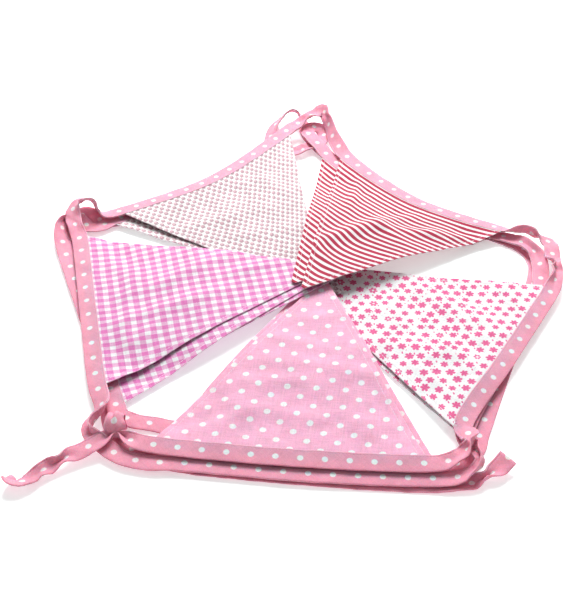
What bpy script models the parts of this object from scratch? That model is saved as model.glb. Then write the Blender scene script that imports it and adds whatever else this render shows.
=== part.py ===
"""Bunting: fifteen triangular flags sewn into one folded cotton tape.

The bunting lies on a flat surface, laid round three times in a five-sided ring.
Each round puts one flag on each side of the ring, so five piles of three flags
point to the middle, where their tips overlap. The tape leaves a short tie end at
the right front corner and a long knotted one at the left front corner.

Metres, +Z up. The tables are in millimetres, with the middle of the ring at 0, 0
and the surface at z 0. X runs to the right and Y runs away from the front side.
"""
import math

import bmesh
import bpy
from mathutils import Vector

MM = 0.001

# Tape: a bias binding folded over the flags' top edges.
TAPE_WIDTH = 15.0
TAPE_THICK = 2.6
SLOT_GAP = 1.6
SLOT_DEEP = 8.6
SLOT_SHALLOW = 1.0

# Flags: two layers of cotton sewn face to face.
FLAG_THICK = 1.0
FLAG_MARGIN = 8.0
FLAG_STEPS = 10
TIP_WIDTH = 4.0
FALL_SHARE = 0.5

# Pile: how the flags lie on each other, from the middle of the ring outwards.
PITCH = 1.35
LOOSE = 2.5
RISE_RADII = (80.0, 185.0)
LOOSE_RADII = (60.0, 140.0)
WAVE_HEIGHT = 1.6
WAVE_LENGTH = 62.0

# Steps along the tape: the length of one between the flags, and the fine
# steps in which the curve between two points of the route is measured.
CORNER_STEP = 8.0
FINE_STEPS = 24

# Prints: columns are print, place of its lowest flag in the middle pile,
# angle of its waves in degrees, and colour.
PRINTS = {
    "flower": (0, 40.0, (0.90, 0.52, 0.62)),
    "rosebud": (3, -35.0, (0.87, 0.76, 0.76)),
    "dots": (6, 0.0, (0.87, 0.42, 0.52)),
    "gingham": (9, 70.0, (0.85, 0.45, 0.70)),
    "stripe": (12, 10.0, (0.86, 0.36, 0.38)),
}
TAPE_COLOUR = (0.90, 0.36, 0.50)
CLOTH_ROUGH = 0.85

# A point of the tape's centre line is x, y, z and lean, the angle in degrees by
# which the tape's inner edge stands above its outer edge.
# Runs: one flag's side of the tape each, as flag, start, middle, end and the flag's
# tip as x, y. Corners: the tape between two flags, as a name and its points.
ROUTE = [
    ("corner", "short tie and the plain run under the front", [
        (154, -192, 9, 10), (146, -200, 5.5, 8), (138, -206.5, 2.8, 0), (126, -212, 1.3, 0),
        (110, -214, 1.3, 0), (60, -213.5, 1.3, 0), (0, -210, 1.3, 0), (-45, -206.5, 1.3, 0),
        (-85, -202, 1.3, 0), (-112, -196, 1.3, 0), (-131, -184, 1.3, 0), (-143, -166, 1.3, 0)]),
    ("run", "gingham_1", (-150, -141, 1.3, 0), (-180, -47, 1.3, 0), (-209, 47, 1.3, 0), (35, 15)),
    ("corner", "left back, lowest", [
        (-214, 66, 1.3, 0), (-215, 80, 1.3, 0), (-215.5, 91, 1.5, -5), (-213, 99, 5, -42),
        (-206, 103, 6, -50), (-198, 101, 4, -30), (-188, 98, 1.4, 0)]),
    ("run", "rosebud_1", (-174, 101.5, 1.3, 0), (-96, 166, 1.3, 0), (-34, 238, 1.3, 0), (28, 6)),
    ("corner", "back, lowest", [
        (-34.5, 250, 2.6, 6), (-33, 262, 5.8, 20), (-29.5, 273, 9, 36), (-24.5, 281, 13, 42),
        (-19, 285.3, 17, 40), (-13.5, 287.5, 19.3, 38), (-9, 288, 18.5, 38), (-4.5, 286.7, 14, 34),
        (-1, 283, 9, 22), (2, 275, 4.6, 8), (5.5, 265, 2.2, 0), (10.5, 254, 1.5, 0), (16.5, 243, 1.3, 0),
        (23, 232, 1.3, 0)]),
    ("run", "stripe_1", (31, 222, 1.3, 0), (100, 145, 1.3, 0), (177, 96, 1.3, 0), (8, -2)),
    ("corner", "right back, lowest", [
        (191.5, 87.5, 1.3, 0), (205, 77, 1.3, 0), (213.5, 63, 1.3, 0), (215, 47, 1.3, 0),
        (212, 32, 1.3, 0)]),
    ("run", "flower_1", (208, 20, 1.3, 0), (172, -72, 1.3, 0), (137, -164, 1.3, 0), (-19, 22)),
    ("corner", "right front, lowest", [
        (133, -177, 1.3, 0), (125, -188, 1.3, 0), (113, -194.5, 1.3, 0), (101, -197, 1.3, 0)]),
    ("run", "dots_1", (88, -196.5, 1.3, 0), (-6, -172, 1.3, 0), (-97, -165, 1.3, 0), (16, 18)),
    ("corner", "left front, lowest", [
        (-114, -162.5, 2.4, 0), (-129, -161, 4.4, 0), (-139, -156.5, 4.9, 0)]),
    ("run", "gingham_2", (-143.5, -146, 4.9, 0), (-177, -56, 4.9, 0), (-214, 39, 4.9, 0), (25, 15)),
    ("corner", "left back, middle", [
        (-220, 55, 6, -6), (-223.5, 68, 8, -24), (-225, 79, 10, -44), (-224, 88, 11, -56),
        (-218.5, 92, 10.6, -56), (-211, 89, 9, -36), (-204, 85.5, 6.8, -12), (-197, 84.5, 5.1, 0),
        (-188.5, 88.5, 4.9, 0)]),
    ("run", "rosebud_2", (-180.5, 95.4, 4.9, 0), (-100, 155, 4.9, 0), (-26.8, 221.8, 4.9, 0), (34, -3)),
    ("corner", "back, middle", [
        (-4, 228, 4.9, 0), (8, 238, 4.9, 0), (17, 247, 5.6, 0), (22, 256, 6.8, 10),
        (21, 265, 8.6, 15), (14, 269, 10, 12), (6.5, 266, 11, 8), (4.5, 257, 11, 0),
        (10.5, 245.5, 10, 0), (19, 232, 8.3, 0)]),
    ("run", "stripe_2", (26, 219.8, 5.6, 0), (97, 139, 4.9, 0), (181, 92, 4.9, 0), (-8, -5)),
    ("corner", "right back, middle", [
        (196, 84, 5.5, 0), (208, 73, 7.5, -20), (216, 58, 8, -30), (217, 42, 7.3, -20),
        (215, 26, 4.9, 0)]),
    ("run", "flower_2", (212, 10, 5, 0), (168, -78, 4.9, 0), (125.5, -164.7, 5.4, 0), (-19, 22)),
    ("corner", "right front, middle", [
        (127, -178, 6.5, -10), (132, -189, 10, -40), (135, -198, 10.5, -55), (129, -206, 10, -45),
        (117, -210, 6.2, -10)]),
    ("run", "dots_2", (104, -211, 5.2, 0), (5, -210, 4.9, 0), (-92, -203, 4.9, 0), (19, 12)),
    ("corner", "left front, middle", [
        (-112, -203.5, 4.9, 0), (-133, -199, 4.9, 0), (-151, -189, 5.6, 10), (-162, -178, 8.5, 36),
        (-159, -164, 10, 40), (-156.5, -149, 10, 20)]),
    ("run", "gingham_3", (-159.2, -132, 10.2, 14), (-182.5, -36, 10.2, 14), (-205.5, 60.5, 10.1, 8),
     (26.5, 21.5)),
    ("corner", "left back, top", [
        (-210, 72, 12, 2), (-214.5, 83.5, 15.2, 0), (-216, 91, 19, 4), (-213, 97.5, 22, 10),
        (-208.5, 102.3, 24, 14), (-204, 105, 25, 16), (-200.7, 105.2, 23, 18), (-198.3, 103.5, 18.8, 20),
        (-196.3, 101.5, 14.3, 20), (-193, 100, 11, 14), (-186.5, 99.6, 9.9, 8), (-180, 101.2, 9.7, 6)]),
    ("run", "rosebud_3", (-172.5, 105.6, 9.7, 8), (-91, 163.5, 9.7, 8), (-19.3, 251, 14, 0),
     (19.5, -4.1)),
    ("corner", "back, top", [
        (-12.3, 260, 15.2, -2), (-3.5, 267.5, 16.3, 4), (3, 271.8, 17.6, 10), (10, 278.8, 20.2, 6),
        (15, 280.6, 22.6, -12), (19.5, 282, 23.8, -34), (23.3, 278.2, 23, -54), (26, 269.6, 20.5, -62),
        (27.8, 260, 17.8, -62), (30, 249, 15.4, -56), (33.3, 238, 13.8, -42), (37.7, 226.3, 12.5, -26)]),
    ("run", "stripe_3", (44.3, 213.5, 10.1, -8), (109, 136.5, 9.7, 8), (190, 92.5, 9.9, 18),
     (0.7, -13.4)),
    ("corner", "right back, top", [
        (195, 90, 10.8, 30), (199.5, 88.3, 12.5, 46), (204.5, 86.8, 14, 62), (211, 86.2, 15, 70),
        (218, 83.2, 15, 68), (224.5, 78, 14.5, 58), (229, 69.5, 14, 38), (231, 57.5, 13, 16),
        (231.5, 45, 12.3, 24), (232.5, 35, 12, 58), (231, 25, 11.5, 46), (226.5, 14, 10.7, 22)]),
    ("run", "flower_3", (220.5, 5.3, 10.2, 12), (171.5, -80, 10.1, 12), (123.1, -165.2, 10.7, 6),
     (-19.2, 45.1)),
    ("corner", "right front, top", [
        (127, -175, 13, -20), (127, -185, 14, -32), (119, -194, 12, -18),
        (107, -199.5, 10, 0)]),
    ("run", "dots_3", (92.5, -201.1, 9.6, 6), (-10, -199, 9.7, 8), (-109.1, -190.3, 9.6, 5),
     (19.3, 10)),
    ("corner", "knot and long tie at the left front", [
        (-124, -190, 10.8, 0), (-133, -181.5, 14, 20), (-134, -168, 18.5, 30), (-141, -160, 20.5, 45),
        (-149, -166, 19.5, 35), (-149, -178, 16, 15), (-152, -188, 12.5, 0), (-162, -195, 9.5, 0),
        (-175, -200.5, 6, 0), (-186.5, -209.5, 4, 0), (-197, -219, 2.5, 0), (-205.5, -223.5, 2.6, 0),
        (-214, -222.5, 4, 0)]),
]


def rest_height(lean):
    """Height of the tape's centre line where the leaning tape just meets the surface."""
    return abs(math.sin(lean)) * TAPE_WIDTH / 2 + math.cos(lean) * TAPE_THICK / 2


def spline_point(rows, index, t):
    """Centripetal Catmull-Rom point between rows index and index + 1."""
    p = [rows[min(max(index + k, 0), len(rows) - 1)] for k in (-1, 0, 1, 2)]
    if index == 0:
        p[0] = 2 * p[1] - p[2]
    if index == len(rows) - 2:
        p[3] = 2 * p[2] - p[1]
    knots = [0.0]
    for a, b in zip(p, p[1:]):
        knots.append(knots[-1] + math.sqrt((b.xyz - a.xyz).length))
    at = knots[1] + t * (knots[2] - knots[1])

    def blend(a, b, i, j):
        return a * ((knots[j] - at) / (knots[j] - knots[i])) + b * ((at - knots[i]) / (knots[j] - knots[i]))

    a = [blend(p[k], p[k + 1], k, k + 1) for k in range(3)]
    b = [blend(a[k], a[k + 1], k, k + 2) for k in range(2)]
    return blend(b[0], b[1], 1, 2)


def route_rows():
    """All route rows as x, y, z, lean, and for each flag its first and last row."""
    rows, runs = [], []
    for stretch in ROUTE:
        if stretch[0] == "corner":
            rows += [Vector((x, y, z, lean)) for x, y, z, lean in stretch[2]]
        else:
            runs.append((stretch[1], len(rows), len(rows) + 2, stretch[5]))
            rows += [Vector(point) for point in stretch[2:5]]
    return rows, runs


def even_points(rows, first, last, count):
    """count + 1 points at even spacing along the spline from row first to row last."""
    fine = [spline_point(rows, i, k / FINE_STEPS) for i in range(first, last) for k in range(FINE_STEPS)]
    fine.append(rows[last].copy())
    along = [0.0]
    for a, b in zip(fine, fine[1:]):
        along.append(along[-1] + (b.xyz - a.xyz).length)
    points, at = [], 0
    for k in range(count + 1):
        target = along[-1] * k / count
        while at < len(along) - 2 and along[at + 1] < target:
            at += 1
        share = (target - along[at]) / (along[at + 1] - along[at])
        points.append(fine[at].lerp(fine[at + 1], share))
    return points


def tape_stations():
    """The tape's cross-sections in order, as (centre, across, up, slot depth)."""
    rows, runs = route_rows()
    points, depths, spans = [], [], {}
    done = 0

    def add(new, depth):
        for point in new:
            points.append(point)
            depths.append(depth)

    for name, first, last, tip in runs:
        length = sum((rows[i + 1].xyz - rows[i].xyz).length for i in range(done, first))
        gap = even_points(rows, done, first, max(2, round(length / CORNER_STEP)))
        add(gap[:-1] if not points else gap[1:-1], SLOT_SHALLOW)
        spans[name] = (len(points), tip)
        add(even_points(rows, first, last, FLAG_STEPS), SLOT_DEEP)
        done = last
    length = sum((rows[i + 1].xyz - rows[i].xyz).length for i in range(done, len(rows) - 1))
    add(even_points(rows, done, len(rows) - 1, round(length / CORNER_STEP))[1:], SLOT_SHALLOW)

    stations = []
    for i, point in enumerate(points):
        before, after = points[max(i - 1, 0)].xyz, points[min(i + 1, len(points) - 1)].xyz
        along = (after - before).normalized()
        level = along.cross(Vector((0, 0, 1))).normalized()
        lean = math.radians(point.w)
        across = level * math.cos(lean) + level.cross(along) * math.sin(lean)
        centre = point.xyz
        centre.z = max(centre.z, rest_height(lean))
        stations.append((centre, across, across.cross(along), depths[i]))
    return stations, spans


def tape_section(station):
    """Eight points round the tape, whose slot opens in its inner edge."""
    centre, across, up, depth = station
    half, thick, gap = TAPE_WIDTH / 2, TAPE_THICK / 2, SLOT_GAP / 2
    outline = [(-half, -thick), (half, -thick), (half, -gap), (half - depth, -gap),
               (half - depth, gap), (half, gap), (half, thick), (-half, thick)]
    return [centre + across * a + up * b for a, b in outline]


def smooth_share(radius, radii):
    """1 inside the first radius, falling smoothly to 0 at the second."""
    t = min(max((radii[1] - radius) / (radii[1] - radii[0]), 0.0), 1.0)
    return t * t * (3 - 2 * t)


def lie_height(x, y, print_name, layer):
    """Height of the middle of a flag's cloth where it lies on the flags below it."""
    lowest, angle = PRINTS[print_name][:2]
    share = smooth_share(math.hypot(x, y), RISE_RADII)
    loose = LOOSE * (1 - smooth_share(math.hypot(x, y), LOOSE_RADII))
    turn = math.radians(angle)
    phase = (x * math.cos(turn) + y * math.sin(turn)) / WAVE_LENGTH
    wave = WAVE_HEIGHT * (0.5 + 0.5 * math.sin(2 * math.pi * phase)) * (1 - share)
    return FLAG_THICK / 2 + layer * (PITCH + loose) + lowest * PITCH * share + wave


def flag_rows(name, stations, start, tip):
    """The flag's points as (point, up) rows, from its margin in the slot to its tip."""
    print_name, number = name.split("_")
    layer = int(number) - 1
    base = stations[start:start + FLAG_STEPS + 1]
    mouth = [centre + across * (TAPE_WIDTH / 2) for centre, across, up, depth in base]
    rows = [[(point - across * FLAG_MARGIN, up)
             for point, (centre, across, up, depth) in zip(mouth, base)],
            [(point, up) for point, (centre, across, up, depth) in zip(mouth, base)]]
    lift = [point.z - lie_height(point.x, point.y, print_name, layer) for point in mouth]
    edge = (mouth[-1] - mouth[0]).normalized() * TIP_WIDTH / 2
    for row in range(1, FLAG_STEPS + 1):
        down = row / FLAG_STEPS
        count = max(FLAG_STEPS - row, 1)
        line = []
        for k in range(count + 1):
            share = k / count
            at = min(int(share * FLAG_STEPS), FLAG_STEPS - 1)
            rest = share * FLAG_STEPS - at
            top = mouth[at].lerp(mouth[at + 1], rest)
            raised = lift[at] * (1 - rest) + lift[at + 1] * rest
            end = Vector((*tip, 0)) + edge * (2 * share - 1)
            point = top.lerp(end, down)
            lying = lie_height(point.x, point.y, print_name, layer)
            point.z = max(lying + raised * max(0.0, 1 - down / FALL_SHARE) ** 2, FLAG_THICK / 2)
            line.append((point, Vector((0, 0, 1))))
        rows.append(line)
    return rows


def new_object(name, verts, faces, shift, material):
    """Make one closed mesh, in metres, with its faces pointing out."""
    mesh = bpy.data.meshes.new(name)
    mesh.from_pydata([(v + shift) * MM for v in verts], [], faces)
    shell = bmesh.new()
    shell.from_mesh(mesh)
    bmesh.ops.recalc_face_normals(shell, faces=shell.faces)
    shell.to_mesh(mesh)
    shell.free()
    mesh.materials.append(material)
    obj = bpy.data.objects.new(name, mesh)
    bpy.context.scene.collection.objects.link(obj)
    return obj


def tape_mesh(stations):
    """Sweep the tape's section along its stations, with a cap at each end.

    The two inner faces of the slot are cut along the same diagonal as the flag's
    margin, so that cloth and slot stay parallel where the tape twists.
    """
    rings = [tape_section(station) for station in stations]
    sides = len(rings[0])
    slot_faces = (2, 6)
    verts = [point for ring in rings for point in ring]
    faces = []
    for i in range(len(rings) - 1):
        for k in range(sides):
            a, b = i * sides + k, i * sides + (k + 1) % sides
            if k in slot_faces:
                faces += [(a, b, a + sides), (b, b + sides, a + sides)]
            else:
                faces += [(a, b, b + sides), (a, b + sides, a + sides)]
    last = len(verts) - sides
    for low in (0, last):
        for quad in ((0, 1, 2, 3), (0, 3, 4, 7), (4, 5, 6, 7)):
            faces.append(tuple(low + k for k in quad))
    return verts, faces


def flag_mesh(rows):
    """Give the flag's rows their thickness and close its edges."""
    half = FLAG_THICK / 2
    verts, index = [], []
    for side in (half, -half):
        index.append([])
        for line in rows:
            index[-1].append(range(len(verts), len(verts) + len(line)))
            verts += [point + up * side for point, up in line]
    top, low = index
    faces = []
    for a, b in zip(range(len(rows) - 1), range(1, len(rows))):
        for i in range(len(rows[a]) - 1):
            if len(rows[b]) == len(rows[a]):
                cells = [((a, i), (b, i), (b, i + 1)), ((a, i), (b, i + 1), (a, i + 1))]
            else:
                cells = [((a, i), (b, i), (a, i + 1))]
                if i:
                    cells.append(((b, i - 1), (b, i), (a, i)))
            for cell in cells:
                faces.append(tuple(top[r][c] for r, c in cell))
                faces.append(tuple(low[r][c] for r, c in reversed(cell)))
    rim = [(0, i) for i in range(len(rows[0]))]
    rim += [(r, len(rows[r]) - 1) for r in range(1, len(rows))]
    rim += [(len(rows) - 1, i) for i in range(len(rows[-1]) - 2, -1, -1)]
    rim += [(r, 0) for r in range(len(rows) - 2, 0, -1)]
    for (ra, ca), (rb, cb) in zip(rim, rim[1:] + rim[:1]):
        faces.append((top[ra][ca], low[ra][ca], low[rb][cb]))
        faces.append((top[ra][ca], low[rb][cb], top[rb][cb]))
    return verts, faces


def cloth_material(name, colour):
    """Matt printed cotton."""
    material = bpy.data.materials.new(name)
    material.use_nodes = True
    shader = material.node_tree.nodes["Principled BSDF"]
    shader.inputs["Base Color"].default_value = (*colour, 1.0)
    shader.inputs["Roughness"].default_value = CLOTH_ROUGH
    shader.inputs["Metallic"].default_value = 0.0
    return material


def centring_shift(meshes):
    """Move that brings the middle of the part's footprint to the origin."""
    points = [point for verts, faces in meshes.values() for point in verts]
    low = [min(point[axis] for point in points) for axis in range(3)]
    high = [max(point[axis] for point in points) for axis in range(3)]
    return Vector((-(low[0] + high[0]) / 2, -(low[1] + high[1]) / 2, -low[2]))


def build():
    """Make the tape and the fifteen flags."""
    for obj in list(bpy.data.objects):
        bpy.data.objects.remove(obj)
    stations, spans = tape_stations()
    meshes = {"tape": tape_mesh(stations)}
    for name, (start, tip) in spans.items():
        meshes["flag_" + name] = flag_mesh(flag_rows(name, stations, start, tip))
    shift = centring_shift(meshes)
    materials = {"tape": cloth_material("tape_cotton", TAPE_COLOUR)}
    for print_name, values in PRINTS.items():
        materials[print_name] = cloth_material(print_name + "_cotton", values[2])
    for name, (verts, faces) in meshes.items():
        kind = name.split("_")[1] if name.startswith("flag_") else "tape"
        new_object(name, verts, faces, shift, materials[kind])


build()
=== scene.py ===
# %% [markdown]
# # A bunting of printed cotton flags
# Fifteen triangular flags hang from one folded cotton tape. The bunting has been laid round
# three times, so that it makes a five-sided ring with three flags in a pile on each side.
# The part's solids give every place. This lesson dresses them: each flag and the tape is
# made again as cloth, with seams, waves and a print, in the place of its solid.

# %% Load the part
import math

import bmesh
import bpy
import numpy as np
from mathutils import Matrix, Vector


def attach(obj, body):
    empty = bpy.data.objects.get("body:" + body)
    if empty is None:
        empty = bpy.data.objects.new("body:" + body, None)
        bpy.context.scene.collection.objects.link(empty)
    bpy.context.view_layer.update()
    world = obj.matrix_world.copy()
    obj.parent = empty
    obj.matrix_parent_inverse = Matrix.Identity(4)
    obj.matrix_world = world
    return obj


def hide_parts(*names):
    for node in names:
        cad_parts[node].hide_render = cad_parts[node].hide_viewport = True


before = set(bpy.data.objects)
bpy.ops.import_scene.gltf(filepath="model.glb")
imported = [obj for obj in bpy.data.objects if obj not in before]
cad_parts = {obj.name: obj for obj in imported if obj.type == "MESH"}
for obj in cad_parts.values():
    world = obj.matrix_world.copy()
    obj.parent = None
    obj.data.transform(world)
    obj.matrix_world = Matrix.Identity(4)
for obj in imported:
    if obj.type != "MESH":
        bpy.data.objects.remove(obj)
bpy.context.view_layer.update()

MM = 0.001
print("nodes to dress:", len(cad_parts))

# %% [markdown]
# ## Camera
# The photo looks down at 40 degrees from the front. The camera was worked out from the five
# flags, taken as equal triangles, and its small roll comes from the same sum. It is made
# first, because everything else is judged through it.

# %% Camera at the photo's angle
CAMERA_PLACE = (-0.01826, -0.75048, 0.59871)
CAMERA_TILT, CAMERA_ROLL = 49.9238, 1.6106
LENS, SENSOR_WIDTH = 63.55, 36.0
NEAREST, FARTHEST = 0.05, 20.0

bpy.ops.object.select_all(action="DESELECT")
camera_data = bpy.data.cameras.new("camera")
camera_data.lens = LENS
camera_data.sensor_width = SENSOR_WIDTH
camera_data.clip_start, camera_data.clip_end = NEAREST, FARTHEST
camera = bpy.data.objects.new("camera", camera_data)
bpy.context.scene.collection.objects.link(camera)
camera.matrix_world = (Matrix.Translation(CAMERA_PLACE)
                       @ Matrix.Rotation(math.radians(CAMERA_TILT), 4, "X")
                       @ Matrix.Rotation(math.radians(CAMERA_ROLL), 4, "Z"))
bpy.context.scene.camera = camera
print("camera stands", round(camera.matrix_world.translation.z, 3), "m above the table")

# %% [markdown]
# ## The route of the tape
# A sewer would lay the real bunting down and push it into shape by hand. Here the part's
# route is written down: the centre line of the tape in millimetres, with the lean of the
# tape in degrees. A lean lifts the edge that the flags hang from. At the left front, the left
# back, the right back and the long tie, the tape turns a few millimetres more sharply than
# the solids do. Cloth simulation could find such folds too, but it would not find these
# ones, which the photo shows, so the folds are listed one by one.

# %% The route, from the short tie to the long one
ROUTE = [
    ("corner", "short tie and the plain run under the front", [
        (154, -192, 9, 10), (146, -200, 5.5, 8), (138, -206.5, 2.8, 0), (126, -212, 1.3, 0),
        (110, -214, 1.3, 0), (60, -213.5, 1.3, 0), (0, -210, 1.3, 0), (-45, -206.5, 1.3, 0),
        (-85, -202, 1.3, 0), (-112, -196, 1.3, 0), (-131, -184, 1.3, 0), (-143, -166, 1.3, 0)]),
    ("run", "gingham_1", (-150, -141, 1.3, 0), (-180, -47, 1.3, 0), (-209, 47, 1.3, 0), (35, 15)),
    ("corner", "left back, lowest", [
        (-214, 66, 1.3, 0), (-215, 80, 1.3, 0), (-215.5, 91, 1.5, -5), (-213, 99, 5, -42),
        (-206, 103, 6, -50), (-198, 101, 4, -30), (-188, 98, 1.4, 0)]),
    ("run", "rosebud_1", (-174, 101.5, 1.3, 0), (-96, 166, 1.3, 0), (-34, 238, 1.3, 0), (28, 6)),
    ("corner", "back, lowest", [
        (-34.5, 250, 2.6, 6), (-33, 262, 5.8, 20), (-29.5, 273, 9, 36), (-24.5, 281, 13, 42),
        (-19, 285.3, 17, 40), (-13.5, 287.5, 19.3, 38), (-9, 288, 18.5, 38), (-4.5, 286.7, 14, 34),
        (-1, 283, 9, 22), (2, 275, 4.6, 8), (5.5, 265, 2.2, 0), (10.5, 254, 1.5, 0), (16.5, 243, 1.3, 0),
        (23, 232, 1.3, 0)]),
    ("run", "stripe_1", (31, 222, 1.3, 0), (100, 145, 1.3, 0), (177, 96, 1.3, 0), (8, -2)),
    ("corner", "right back, lowest", [
        (191.5, 87.5, 1.3, 0), (205, 77, 1.3, 0), (213.5, 63, 1.3, 0), (215, 47, 1.3, 0),
        (212, 32, 1.3, 0)]),
    ("run", "flower_1", (208, 20, 1.3, 0), (172, -72, 1.3, 0), (137, -164, 1.3, 0), (-19, 22)),
    ("corner", "right front, lowest", [
        (133, -177, 1.3, 0), (125, -188, 1.3, 0), (113, -194.5, 1.3, 0), (101, -197, 1.3, 0)]),
    ("run", "dots_1", (88, -196.5, 1.3, 0), (-6, -172, 1.3, 0), (-97, -165, 1.3, 0), (16, 18)),
    ("corner", "left front, lowest", [
        (-114, -162.5, 2.4, 0), (-129, -161, 4.4, 0), (-139, -156.5, 4.9, 0)]),
    ("run", "gingham_2", (-143.5, -146, 4.9, 0), (-177, -56, 4.9, 0), (-214, 39, 4.9, 0), (25, 15)),
    ("corner", "left back, middle", [
        (-220, 55, 6, -6), (-223.5, 68, 8, -24), (-225, 79, 10, -44), (-224, 88, 11, -56),
        (-218.5, 92, 10.6, -56), (-211, 89, 9, -36), (-204, 85.5, 6.8, -12), (-197, 84.5, 5.1, 0),
        (-188.5, 88.5, 4.9, 0)]),
    ("run", "rosebud_2", (-180.5, 95.4, 4.9, 0), (-100, 155, 4.9, 0), (-26.8, 221.8, 4.9, 0), (34, -3)),
    ("corner", "back, middle", [
        (-4, 228, 4.9, 0), (8, 238, 4.9, 0), (17, 247, 5.6, 0), (22, 256, 6.8, 10),
        (21, 265, 8.6, 15), (14, 269, 10, 12), (6.5, 266, 11, 8), (4.5, 257, 11, 0),
        (10.5, 245.5, 10, 0), (19, 232, 8.3, 0)]),
    ("run", "stripe_2", (26, 219.8, 5.6, 0), (97, 139, 4.9, 0), (181, 92, 4.9, 0), (-8, -5)),
    ("corner", "right back, middle", [
        (196, 84, 5.5, 0), (208, 73, 7.5, -20), (216, 58, 8, -30), (217, 42, 7.3, -20),
        (215, 26, 4.9, 0)]),
    ("run", "flower_2", (212, 10, 5, 0), (168, -78, 4.9, 0), (125.5, -164.7, 5.4, 0), (-19, 22)),
    ("corner", "right front, middle", [
        (127, -178, 6.5, -10), (132, -189, 10, -40), (135, -198, 10.5, -55), (129, -206, 10, -45),
        (117, -210, 6.2, -10)]),
    ("run", "dots_2", (104, -211, 5.2, 0), (5, -210, 4.9, 0), (-92, -203, 4.9, 0), (19, 12)),
    ("corner", "left front, middle", [
        (-112, -203.5, 4.9, 0), (-132, -198.5, 5, 0), (-146, -189.5, 6, 6), (-154.5, -182, 7.5, 30),
        (-158.5, -175, 9, 50), (-155.5, -167, 10.5, 58), (-151.5, -158, 11.2, 46),
        (-153.5, -147, 10.8, 28)]),
    ("run", "gingham_3", (-159.2, -132, 10.2, 14), (-182.5, -36, 10.2, 14), (-205.5, 60.5, 10.1, 8),
     (26.5, 21.5)),
    ("corner", "left back, top", [
        (-210, 72, 12, 6), (-214.5, 83.5, 15.2, 10), (-216, 91, 18.5, 18), (-213.5, 97.5, 21, 26),
        (-209, 101.5, 23, 30), (-203.5, 103.5, 24, 38), (-199.3, 103.8, 22.5, 52),
        (-196.8, 102.5, 18.5, 62), (-195, 101.2, 14, 60), (-191.5, 100, 11, 34), (-186, 99.6, 9.9, 12),
        (-180, 101.2, 9.7, 6)]),
    ("run", "rosebud_3", (-172.5, 105.6, 9.7, 8), (-91, 163.5, 9.7, 8), (-19.3, 251, 14, 0),
     (19.5, -4.1)),
    ("corner", "back, top", [
        (-12.3, 260, 15.2, -2), (-3.5, 267.5, 16.3, 4), (3, 271.8, 17.6, 10), (10, 278.8, 20.2, 6),
        (15, 280.6, 22.6, -12), (19.5, 282, 23.8, -34), (23.3, 278.2, 23, -54), (26, 269.6, 20.5, -62),
        (27.8, 260, 17.8, -62), (30, 249, 15.4, -56), (33.3, 238, 13.8, -42), (37.7, 226.3, 12.5, -26)]),
    ("run", "stripe_3", (44.3, 213.5, 10.1, -8), (109, 136.5, 9.7, 8), (190, 92.5, 9.9, 18),
     (0.7, -13.4)),
    ("corner", "right back, top", [
        (195, 90, 10.8, 30), (199.5, 88, 12, 48), (204.5, 86, 13, 66), (211, 85.5, 13.8, 72),
        (218.5, 81.5, 13.8, 66), (225, 76.5, 13.2, 22), (228.8, 68, 12.5, 4), (229, 57, 12.2, 4),
        (228.5, 45, 12, 12), (228, 33.5, 11.6, 30), (226.5, 23, 11.2, 26), (223.8, 13.5, 10.6, 16)]),
    ("run", "flower_3", (220.5, 5.3, 10.2, 12), (171.5, -80, 10.1, 12), (123.1, -165.2, 10.7, 6),
     (-19.2, 45.1)),
    ("corner", "right front, top", [
        (127, -175, 13, -20), (127, -185, 14, -32), (119, -194, 12, -18),
        (107, -199.5, 10, 0)]),
    ("run", "dots_3", (92.5, -201.1, 9.6, 6), (-10, -199, 9.7, 8), (-109.1, -190.3, 9.6, 5),
     (19.3, 10)),
    ("corner", "knot and long tie at the left front", [
        (-119, -188.5, 9.8, 0), (-128, -185, 8, 0), (-135.5, -180.5, 6.5, 0), (-141.5, -181, 6.5, 0),
        (-147, -186, 8.5, 0), (-153, -190, 8.5, 0), (-161, -195, 7, 0), (-170, -200.5, 5.5, 10),
        (-177, -205.5, 4.8, 25), (-184, -210.5, 4, 10), (-191, -217, 3, -10), (-198, -224, 2.8, -25),
        (-205.5, -226.5, 3.8, -38), (-212, -223, 6.5, -45)]),
]
SHIFT = np.array([-3.7258, -31.7142, 0.0])
print("stretches of tape:", len(ROUTE))

# %% [markdown]
# ## Stations along the tape
# A smooth curve through the route's rows is cut into stations a few millimetres apart. Each
# station knows where its middle is, which way is across and which way is up. The solids use
# the same curve with longer steps, so the fine cloth lies where they do.

# %% A smooth curve through the rows
TAPE_HALF = 7.5
TAPE_REST = 1.3
CURVE_STEPS = 60


def spline_point(rows, index, t):
    """Centripetal Catmull-Rom point between rows index and index + 1."""
    p = [rows[min(max(index + k, 0), len(rows) - 1)] for k in (-1, 0, 1, 2)]
    if index == 0:
        p[0] = 2 * p[1] - p[2]
    if index == len(rows) - 2:
        p[3] = 2 * p[2] - p[1]
    knots = [0.0]
    for a, b in zip(p, p[1:]):
        knots.append(knots[-1] + math.sqrt(np.linalg.norm(b[:3] - a[:3])))
    at = knots[1] + t * (knots[2] - knots[1])

    def between(a, b, i, j):
        return a * ((knots[j] - at) / (knots[j] - knots[i])) + b * ((at - knots[i]) / (knots[j] - knots[i]))

    a = [between(p[k], p[k + 1], k, k + 1) for k in range(3)]
    b = [between(a[k], a[k + 1], k, k + 2) for k in range(2)]
    return between(b[0], b[1], 1, 2)


def lengths_along(points):
    """Distance from the first point to each point along the line."""
    steps = np.linalg.norm(np.diff(points[:, :3], axis=0), axis=1)
    return np.concatenate([[0.0], np.cumsum(steps)])


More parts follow.
